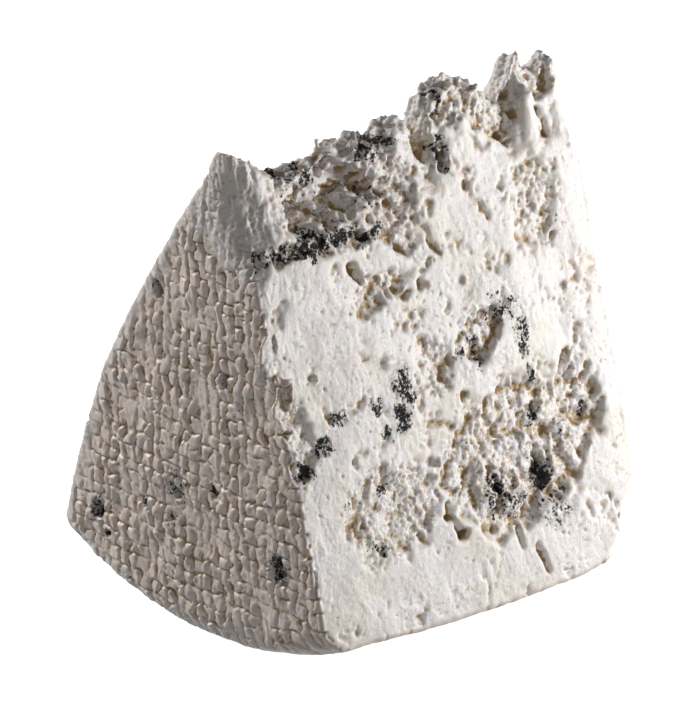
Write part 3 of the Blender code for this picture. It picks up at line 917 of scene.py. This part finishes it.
    def roughen(self, points: np.ndarray, normals: np.ndarray) -> np.ndarray:
        """The second pass: curds and creases in the paste, and the cloth's print in the rind.

        Args:
            points: the crumbled skin's points in mm.
            normals: its normals.

        Returns:
            The moved points.
        """
        faces = self.faces(points, normals)
        u, v, _ = self.front.place(points)
        paste = 1 - faces["rind"]
        torn = np.maximum(self.tear_share(points, faces), 0.8 * self.mould_and_shade_share(points, faces) * paste)
        crumbly = where_open(paste, lambda spots: 0.4 * fade(0.15, 0.5, hills(spots, 9.0, 17.0)), points)
        torn = np.maximum(torn, crumbly)
        shoulder = fade(34, 22, v) * fade(17, 9, u) * paste
        torn = torn * (1 - 0.4 * shoulder)
        height = paste * where_open(paste, self.paste_height, points, torn, v)
        folds = np.stack([u, 0.5 * v, 0 * u], axis=1)
        pleats = where_open(shoulder, lambda spots: hills(spots, 2.2, 45.0, Grain.ROUGH), folds)
        height += 0.7 * shoulder * pleats
        for share, seed in ((faces["left"], 1.0), (faces["right"], 5.0)):
            height += share * where_open(share, lambda spots: self.end_height(spots, seed), points)
        round_side = np.clip(faces["side"] - np.maximum(faces["left"], faces["right"]), 0, 1)
        x, y = points[:, 0], points[:, 1]
        height += 0.3 * round_side * where_open(round_side, lambda *rows: self.cloth(*rows, 9.0), x, y)
        moved = points + normals * height[:, None]
        if faces["left"].any():
            wobble = 0.5 * hills(points, 1.6, 7.0)
            for spot in END_HOLES:
                reach = spot.reach(points[:, 1] + wobble, points[:, 2] - wobble)
                moved[:, 0] += spot.much * np.sqrt(np.clip(1 - reach**2, 0, 1)) * faces["left"]
        return moved

    def smoothed(self, wedge: bpy.types.Object, points: np.ndarray, rounds: int) -> np.ndarray:
        """The points, each drawn towards its neighbours again and again.

        Args:
            wedge: the object whose edges join the points.
            points: places in mm.
            rounds: how often they are drawn together, so how wide the smoothing reaches.

        Returns:
            The smoothed places in mm.
        """
        edges = np.empty(len(wedge.data.edges) * 2, dtype=np.int64)
        wedge.data.edges.foreach_get("vertices", edges)
        first, second = edges.reshape(-1, 2).T
        count = len(points)
        links = np.bincount(first, minlength=count) + np.bincount(second, minlength=count)
        smooth = points.copy()
        for _ in range(rounds):
            total = np.empty_like(smooth)
            for axis in range(3):
                total[:, axis] = np.bincount(first, smooth[second, axis], count)
                total[:, axis] += np.bincount(second, smooth[first, axis], count)
            smooth = 0.5 * smooth + 0.5 * total / np.maximum(links, 1)[:, None]
        return smooth

    def mould_and_shade_share(self, points: np.ndarray, faces: dict[str, np.ndarray]) -> np.ndarray:
        """How much mould shows, with painted shade in the recess below the point.

        Args:
            points: places in mm, one row each.
            faces: which face each belongs to.

        Returns:
            One share a point, 0 to about 1.
        """
        u, v, _ = self.front.place(points)
        warp = drift(points, 6.0, 6.0) * 1.8 + drift(points, 2.2, 8.0) * 0.9
        share = np.zeros(len(points))
        for spot in FRONT_MOULD_AND_SHADE:
            near = 1 - fade(0.3, 1.3, spot.reach(u + warp[:, 0], v + warp[:, 1]))
            share = np.maximum(share, near * spot.much)
        share *= faces["front"] & (faces["rind"] < 0.6)
        stains = np.zeros(len(points))
        for spot in END_STAINS:
            reach = spot.reach(points[:, 1] + 0.5 * warp[:, 0], points[:, 2] + 0.5 * warp[:, 1])
            near = 1 - fade(0.2, 1.25, reach)
            stains = np.maximum(stains, near * spot.much)
        share = np.maximum(share, stains * (points[:, 0] < -self.wheel.half_width + 9))
        patches = fade(0.2, 0.6, hills(points, 11.0, 21.0, Grain.ROUGH))
        patches *= fade(-0.1, 0.3, hills(points, 30.0, 22.0))
        hidden = ~faces["front"] & (faces["rind"] < 0.5)
        share = np.where(hidden, np.maximum(share, patches), share)
        spots = fade(0.5, 0.7, hills(points, 7.0, 25.0)) * faces["right"]
        return np.maximum(share, spots)

    def mark(self, wedge: bpy.types.Object, name: str, values: np.ndarray) -> None:
        """Stores one number a point on the wedge, for its finish to read."""
        layer = wedge.data.attributes.new(name, "FLOAT", "POINT")
        layer.data.foreach_set("value", values.astype(np.float32))

    def thin_out(self, wedge: bpy.types.Object, triangles: int) -> None:
        """Joins triangles where the surface is plain.

        Args:
            wedge: the object to thin out.
            triangles: how many to keep.
        """
        modifier = wedge.modifiers.new("thin_out", "DECIMATE")
        modifier.ratio = min(1.0, triangles / (2 * len(wedge.data.polygons)))
        self.settle(wedge)

    def grow_shreds(self, points: np.ndarray, normals: np.ndarray) -> bpy.types.Mesh:
        """Makes torn shreds of paste on the point and along the tears, for the skin to fuse.

        Args:
            points: the crumbled skin's points in mm.
            normals: its normals.

        Returns:
            The shreds, as closed lumps in metres.
        """
        draw = random.Random(self.shred_seed)
        ball = bmesh.new()
        bmesh.ops.create_icosphere(ball, subdivisions=2, radius=1.0)
        corners = np.array([corner.co[:] for corner in ball.verts])
        sides = np.array([[corner.index for corner in side.verts] for side in ball.faces])
        ball.free()
        u, v, out = self.front.place(points)
        ridge = np.nonzero((v < 7) & (normals[:, 2] > 0.45) & (u > 3))[0]
        torn = np.nonzero((v > 8) & (v < 132) & (out > -5) & (out < -0.4) & (u > 12) & (u < 116)
                          & (normals @ self.front.out > 0.3))[0]
        places, faces = [], []
        for spots, count, long, lean in ((ridge, self.ridge_shreds, self.ridge_long, 0.9),
                                         (torn, self.tear_shreds, self.tear_long, 0.7)):
            spots = spots[np.lexsort(np.round(points[spots], 2).T)]
            for _ in range(count):
                spot = int(spots[draw.randrange(len(spots))])
                away = Vector(normals[spot]) + Vector([draw.uniform(-lean, lean) for _ in range(3)])
                turn = np.array(away.to_track_quat("Z", "Y").to_matrix())
                length = draw.uniform(*long)
                place = corners * (draw.uniform(0.7, 1.1), draw.uniform(0.9, 2.0), length)
                place *= 1 + 0.3 * hills(corners, 0.6, draw.uniform(0, 90))[:, None]
                place[:, 0] += draw.uniform(-0.16, 0.16) * place[:, 2] ** 2
                place[:, 2] += 0.4 * length
                faces.append(sides + len(places) * len(corners))
                places.append(place @ turn.T + points[spot])
        shreds = bpy.data.meshes.new("shreds")
        shreds.from_pydata((np.concatenate(places) * MM).tolist(), [], np.concatenate(faces).tolist())
        return shreds

    def build_block(self, crumbled: bpy.types.Object, block: Block) -> bpy.types.Object:
        """Makes one block of the wedge from the crumbled skin, roughens it and marks it for its finish.

        Args:
            crumbled: the wedge's skin after the first pass.
            block: the block to make.

        Returns:
            The block's object.
        """
        points, normals = self.read(crumbled)
        for end in block.ends:
            points = end.press(points)
        piece = bpy.data.objects.new(block.name, crumbled.data.copy())
        bpy.context.scene.collection.objects.link(piece)
        self.write(piece, points)
        if block.shreds:
            shape = bmesh.new()
            shape.from_mesh(piece.data)
            shreds = self.grow_shreds(*self.read(crumbled))
            shape.from_mesh(shreds)
            shape.to_mesh(piece.data)
            shape.free()
            bpy.data.meshes.remove(shreds)
        self.even_skin(piece, block.cell)
        points, normals = self.read(piece)
        shown = np.ones(len(points), dtype=bool)
        for end in block.ends:
            shown &= end.depth(points) > 0.15
        points[shown] = self.roughen(points[shown], normals[shown])
        for end in block.ends:
            points = end.taper(points)
        self.write(piece, points)
        self.thin_out(piece, block.triangles)
        points, normals = self.read(piece)
        faces = self.faces(points, normals)
        self.mark(piece, "mould_and_shade", self.mould_and_shade_share(points, faces))
        # Paste colour instead of rind where the print wore off near the point, and painted light along the
        # rim of the -X end, which makes it paler
        pale_bare_or_rim_lit = np.maximum(0.8 * self.bare(points), 0.6 * self.rim(points) * faces["left"])
        self.mark(piece, "rind", faces["rind"] * (1 - pale_bare_or_rim_lit))
        # How far each point lies below its smoothed neighbours, near and wide; the finish paints shade into
        # creases and hollows from these
        near = self.smoothed(piece, points, self.crease_reach)
        wide = self.smoothed(piece, near, self.hollow_reach)
        for name, smooth, full in (("crease", near, self.crease_full), ("hollow", wide, self.hollow_full)):
            sunk = np.sum((smooth - points) * normals, axis=1) / full
            self.mark(piece, name, np.clip(sunk, -1, 1))
        self.stand(piece)
        piece.data.shade_smooth()
        LOG.info("%s: %d points, %d faces", block.name, len(piece.data.vertices), len(piece.data.polygons))
        return piece

    def blocks(self) -> tuple[Block, ...]:
        """Sets out the overlapping blocks.

        Returns:
            The cloth-marked end, the front cut, and the rest.
        """
        half = self.overlap / 2
        middle_left = (0.0, -5.0, 60.0)
        front_out = tuple(self.front.out)
        middle_front = tuple(self.front.top + np.array([60.0, 0, 0]) + 72 * self.front.down)
        rind_inner = Plane((self.left_seam + half, 0, 0), (1.0, 0, 0), middle_left)
        left_edge = Plane((self.left_seam - half, 0, 0), (-1.0, 0, 0), middle_left)
        inner_place = self.front.top + (self.front_seam - half) * self.front.out
        front_inner = Plane(tuple(inner_place), tuple(-self.front.out), middle_front)
        edge_place = self.front.top + (self.front_seam + half) * self.front.out
        front_edge = Plane(tuple(edge_place), front_out, middle_front)
        return (Block("rind_end", self.rind_cell, self.rind_triangles, (rind_inner,)),
                Block("front_cut", self.front_cell, self.front_triangles, (left_edge, front_inner),
                      shreds=True),
                Block("back_and_side", self.back_cell, self.back_triangles, (left_edge, front_edge)))

    def build(self) -> list[bpy.types.Object]:
        """Cuts, crumbles and roughens the wedge.

        Returns:
            The objects of its blocks.
        """
        shape = self.block()
        for flap_place in self.flap_places:
            self.add_lump(shape, Vector(flap_place), Vector(self.flap_size), 0.12)
        self.add_lump(shape, Vector(self.end_lump_place), Vector(self.end_lump_size), 0.1)
        u, v = self.nodule_place
        nodule = self.front.top + np.array([u, 0, 0]) + v * self.front.down
        self.add_lump(shape, Vector(nodule), Vector([self.nodule_radius] * 3), 0.0)
        mesh = bpy.data.meshes.new("crumbled")
        shape.to_mesh(mesh)
        shape.free()
        crumbled = bpy.data.objects.new("crumbled", mesh)
        bpy.context.scene.collection.objects.link(crumbled)
        self.even_skin(crumbled, self.crumbled_cell)
        self.write(crumbled, self.smoothed(crumbled, self.crumble_block(*self.read(crumbled)), 1))
        pieces = [self.build_block(crumbled, block) for block in self.blocks()]
        bpy.data.objects.remove(crumbled)
        return pieces


@dataclass(frozen=True)
class CheeseFinish:
    """Moist cream paste with blue-grey mould, and a darker, glossier rind.

    The roughness of the rind and the mould is what each adds to the paste's. Scales are waves a metre.
    Creases and hollows are darkened with painted shade, warm brown, and dark brown near black in the
    deepest.
    """

    paste: Colour = (0.80, 0.757, 0.735, 1)
    cream: Colour = (0.78, 0.73, 0.66, 1)
    rind: Colour = (0.71, 0.615, 0.545, 1)
    # Painted shade: the warm brown that creases and shallow hollows are darkened towards
    crease: Colour = (0.37, 0.225, 0.065, 1)
    # Painted shadow: the near black that the deepest hollows are darkened towards
    deep_hollow_shadow: Colour = (0.10, 0.06, 0.03, 1)
    mould_grey: Colour = (0.30, 0.275, 0.26, 1)
    mould_dark: Colour = (0.006, 0.005, 0.004, 1)
    tone_scale: float = 60
    streak_scale: float = 520
    speck_scale: float = 1150
    grain_scale: float = 1300
    paste_roughness: float = 0.48
    rind_roughness: float = -0.08
    mould_roughness: float = 0.45
    glow: float = 0.45
    glow_radius: Place = (1.0, 0.6, 0.3)
    glow_scale: float = 0.0007
    grain_strength: float = 0.4
    grain_height: float = 0.00025

    def build(self) -> bpy.types.Material:
        """Makes the material.

        Returns:
            The finished material.
        """
        material = bpy.data.materials.new("cheese_finish")
        material.use_nodes = True
        tree = material.node_tree
        shader = tree.nodes["Principled BSDF"]
        place = tree.nodes.new("ShaderNodeTexCoord").outputs["Object"]
        mould_and_shade = self.attribute(tree, "mould_and_shade")
        rind = self.attribute(tree, "rind")
        crease = self.attribute(tree, "crease")
        hollow = self.attribute(tree, "hollow")
        broad = self.noise(tree, place, self.tone_scale, 4)
        tone = self.mix(tree, self.ramp(tree, broad, 0.42, 0.7), self.paste, self.cream)
        tone = self.mix(tree, rind, tone, self.rind)
        # Painted shade in creases, stronger on the rind than on the paste
        depth = self.math(tree, "MULTIPLY_ADD", rind, 0.5, 0.45)
        sunk = self.math(tree, "MULTIPLY", self.ramp(tree, crease, 0.03, 0.75), depth)
        tone = self.mix(tree, sunk, tone, self.crease)
        # Painted shade in shallow hollows, in the same warm brown
        shallow_hollow_shade = self.scaled(tree, self.ramp(tree, hollow, 0.08, 0.42), 0.9)
        tone = self.mix(tree, shallow_hollow_shade, tone, self.crease)
        # Painted shadow in the deepest hollows
        deep = self.scaled(tree, self.ramp(tree, hollow, 0.4, 1.0), 0.75)
        tone = self.mix(tree, deep, tone, self.deep_hollow_shadow)
        stretch = tree.nodes.new("ShaderNodeVectorMath")
        stretch.operation = "MULTIPLY"
        stretch.inputs[1].default_value = (1, 0.6, 0.6)
        tree.links.new(place, stretch.inputs[0])
        streaks = self.noise(tree, stretch.outputs["Vector"], self.streak_scale, 3)
        specks = self.noise(tree, place, self.speck_scale, 2)
        mottle = self.math(tree, "MULTIPLY_ADD", streaks, 0.5, self.scaled(tree, specks, 0.5))
        cloudy = self.ramp(tree, mottle, 0.68, 0.42)
        # Mould grey haze and black specks below; over the recess below the point they also stand for
        # painted shade
        wash = self.math(tree, "MULTIPLY", self.ramp(tree, mould_and_shade, 0.1, 0.95), cloudy)
        tone = self.mix(tree, self.scaled(tree, wash, 0.75), tone, self.mould_grey)
        limit = self.math(tree, "MULTIPLY_ADD", mould_and_shade, 0.18, 0.352)
        dark = self.ramp(tree, self.math(tree, "SUBTRACT", limit, mottle), -0.03, 0.05)
        mouldy = self.gated(tree, dark, mould_and_shade)
        tone = self.mix(tree, mouldy, tone, self.mould_dark)
        tree.links.new(tone, shader.inputs["Base Color"])
        gloss = self.math(tree, "MULTIPLY_ADD", rind, self.rind_roughness, self.paste_roughness)
        dull = self.math(tree, "MULTIPLY_ADD", mouldy, self.mould_roughness, gloss)
        tree.links.new(dull, shader.inputs["Roughness"])
        shader.inputs["Subsurface Weight"].default_value = self.glow
        shader.inputs["Subsurface Radius"].default_value = self.glow_radius
        shader.inputs["Subsurface Scale"].default_value = self.glow_scale
        bump = tree.nodes.new("ShaderNodeBump")
        bump.inputs["Strength"].default_value = self.grain_strength
        bump.inputs["Distance"].default_value = self.grain_height
        tree.links.new(self.noise(tree, place, self.grain_scale, 4), bump.inputs["Height"])
        tree.links.new(bump.outputs["Normal"], shader.inputs["Normal"])
        return material

    def attribute(self, tree: Tree, name: str) -> Socket:
        """Reads a number stored on the mesh.

        Args:
            tree: the material's nodes.
            name: the name it is stored under.

        Returns:
            The number's socket.
        """
        node = tree.nodes.new("ShaderNodeAttribute")
        node.attribute_name = name
        return node.outputs["Fac"]

    def noise(self, tree: Tree, place: Socket, scale: float, detail: float) -> Socket:
        """Makes noise over the object.

        Args:
            tree: the material's nodes.
            place: the object's coordinates.
            scale: waves a metre.
            detail: how many finer waves are laid over them.

        Returns:
            The noise's socket, about 0.2 to 0.8.
        """
        node = tree.nodes.new("ShaderNodeTexNoise")
        node.inputs["Scale"].default_value = scale
        node.inputs["Detail"].default_value = detail
        tree.links.new(place, node.inputs["Vector"])
        return node.outputs["Fac"]

    def ramp(self, tree: Tree, value: Socket, low: float, high: float) -> Socket:
        """Makes a smooth step from 0 at low to 1 at high.

        Args:
            tree: the material's nodes.
            value: the socket to step over.
            low: where the step starts.
            high: where it ends.

        Returns:
            The step's socket.
        """
        node = tree.nodes.new("ShaderNodeMapRange")
        node.interpolation_type = "SMOOTHSTEP"
        node.inputs["From Min"].default_value = low
        node.inputs["From Max"].default_value = high
        tree.links.new(value, node.inputs["Value"])
        return node.outputs["Result"]

    def math(self, tree: Tree, kind: str, first: Socket, *rest: object) -> Socket:
        """Makes one step of arithmetic.

        Args:
            tree: the material's nodes.
            kind: Blender's name of the operation.
            first: the first socket.
            rest: the other sockets or plain numbers.

        Returns:
            The result's socket.
        """
        node = tree.nodes.new("ShaderNodeMath")
        node.operation = kind
        for socket, value in zip(node.inputs, (first, *rest)):
            if isinstance(value, (int, float)):
                socket.default_value = value
            else:
                tree.links.new(value, socket)
        return node.outputs["Value"]

    def scaled(self, tree: Tree, value: Socket, share: float) -> Socket:
        """The value times a share."""
        return self.math(tree, "MULTIPLY", value, share)

    def gated(self, tree: Tree, value: Socket, gate: Socket) -> Socket:
        """The value where the gate is open."""
        return self.math(tree, "MULTIPLY", value, self.ramp(tree, gate, 0.05, 0.3))

    def mix(self, tree: Tree, share: object, low: object, high: object) -> Socket:
        """Mixes two colours.

        Args:
            tree: the material's nodes.
            share: 0 for the first colour and 1 for the second.
            low: the first colour, a socket or four numbers.
            high: the second colour, a socket or four numbers.

        Returns:
            The mixed colour's socket.
        """
        node = tree.nodes.new("ShaderNodeMix")
        node.data_type = "RGBA"
        share_input, low_input, high_input = 0, 6, 7
        for index, value in ((share_input, share), (low_input, low), (high_input, high)):
            if isinstance(value, Socket):
                tree.links.new(value, node.inputs[index])
            else:
                node.inputs[index].default_value = value
        colour_output = 2
        return node.outputs[colour_output]


@dataclass(frozen=True)
class Lamp:
    """A square soft light that faces the wedge, in degrees, metres and watts."""

    name: str
    azimuth: float
    elevation: float
    away: float
    size: float
    watts: float


@dataclass(frozen=True)
class Studio:
    """A pale floor, soft lights and the camera, in metres and degrees."""

    azimuth: float = -41.1
    elevation: float = 22.7
    look_at: Place = (-0.00475, -0.005, 0.0746)
    away: float = 1.719
    lens: float = 300.0
    floor_half: float = 12.0
    lamps: tuple[Lamp, ...] = (
        Lamp("key", azimuth=49, elevation=5, away=0.55, size=0.22, watts=3.0),
        Lamp("graze", azimuth=-154, elevation=25, away=0.9, size=0.2, watts=6.2),
        Lamp("fill", azimuth=-30, elevation=25, away=1.2, size=0.6, watts=1.45),
    )
    surround: float = 0.065

    def direction(self, azimuth: float, elevation: float) -> Vector:
        """The way from the object to a place around it.

        Args:
            azimuth: 0 is -Y and 90 is +X.
            elevation: the angle above the floor.

        Returns:
            A direction of length 1.
        """
        turn, rise = math.radians(azimuth), math.radians(elevation)
        return Vector((math.sin(turn) * math.cos(rise), -math.cos(turn) * math.cos(rise), math.sin(rise)))

    def aim(self, item: bpy.types.Object, out: Vector, away: float) -> None:
        """Puts a lamp or the camera in its place, facing the wedge.

        Args:
            item: the object to place.
            out: the way to it from the wedge.
            away: how far it stands.
        """
        item.location = Vector(self.look_at) + out * away
        item.rotation_mode = "QUATERNION"
        item.rotation_quaternion = (-out).to_track_quat("-Z", "Y")
        bpy.context.scene.collection.objects.link(item)

    def add_lamp(self, lamp: Lamp) -> None:
        """Sets up one soft light.

        Args:
            lamp: the light's place, size and strength.
        """
        data = bpy.data.lights.new(lamp.name, "AREA")
        data.size = lamp.size
        data.energy = lamp.watts
        light = bpy.data.objects.new(lamp.name, data)
        self.aim(light, self.direction(lamp.azimuth, lamp.elevation), lamp.away)

    def add_floor(self) -> None:
        """A wide pale floor, which isn't part of the object."""
        shape = bmesh.new()
        bmesh.ops.create_grid(shape, x_segments=1, y_segments=1, size=self.floor_half)
        mesh = bpy.data.meshes.new("floor")
        shape.to_mesh(mesh)
        shape.free()
        floor = bpy.data.objects.new("floor", mesh)
        material = bpy.data.materials.new("floor_finish")
        material.use_nodes = True
        shader = material.node_tree.nodes["Principled BSDF"]
        shader.inputs["Base Color"].default_value = (0.9, 0.9, 0.9, 1)
        shader.inputs["Roughness"].default_value = 0.9
        shader.inputs["Emission Color"].default_value = (1, 1, 1, 1)
        shader.inputs["Emission Strength"].default_value = 1.0
        mesh.materials.append(material)
        floor.visible_diffuse = False
        bpy.context.scene.collection.objects.link(floor)

    def add_camera(self) -> None:
        """The camera at the photograph's angle."""
        data = bpy.data.cameras.new("camera")
        data.lens = self.lens
        data.clip_end = 60
        camera = bpy.data.objects.new("camera", data)
        self.aim(camera, self.direction(self.azimuth, self.elevation), self.away)
        bpy.context.scene.camera = camera

    def build(self) -> None:
        """Sets the whole studio up."""
        scene = bpy.context.scene
        scene.view_settings.view_transform = "Standard"
        world = bpy.data.worlds.new("soft_surround")
        scene.world = world
        world.use_nodes = True
        world.node_tree.nodes["Background"].inputs["Color"].default_value = (1, 1, 1, 1)
        world.node_tree.nodes["Background"].inputs["Strength"].default_value = self.surround
        self.add_camera()
        self.add_floor()
        for lamp in self.lamps:
            self.add_lamp(lamp)


def main() -> None:
    """Builds the studio and the wedge, and reports each."""
    logging.basicConfig(level=logging.INFO, format="%(message)s")
    noise.seed_set(NOISE_SEED)
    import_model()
    Studio().build()
    LOG.info("studio ready")
    finish = CheeseFinish().build()
    for piece in Wedge().build():
        piece.data.materials.clear()
        piece.data.materials.append(finish)
        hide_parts(NODE)
        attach(piece, BODY)


if __name__ == "__main__":
    main()
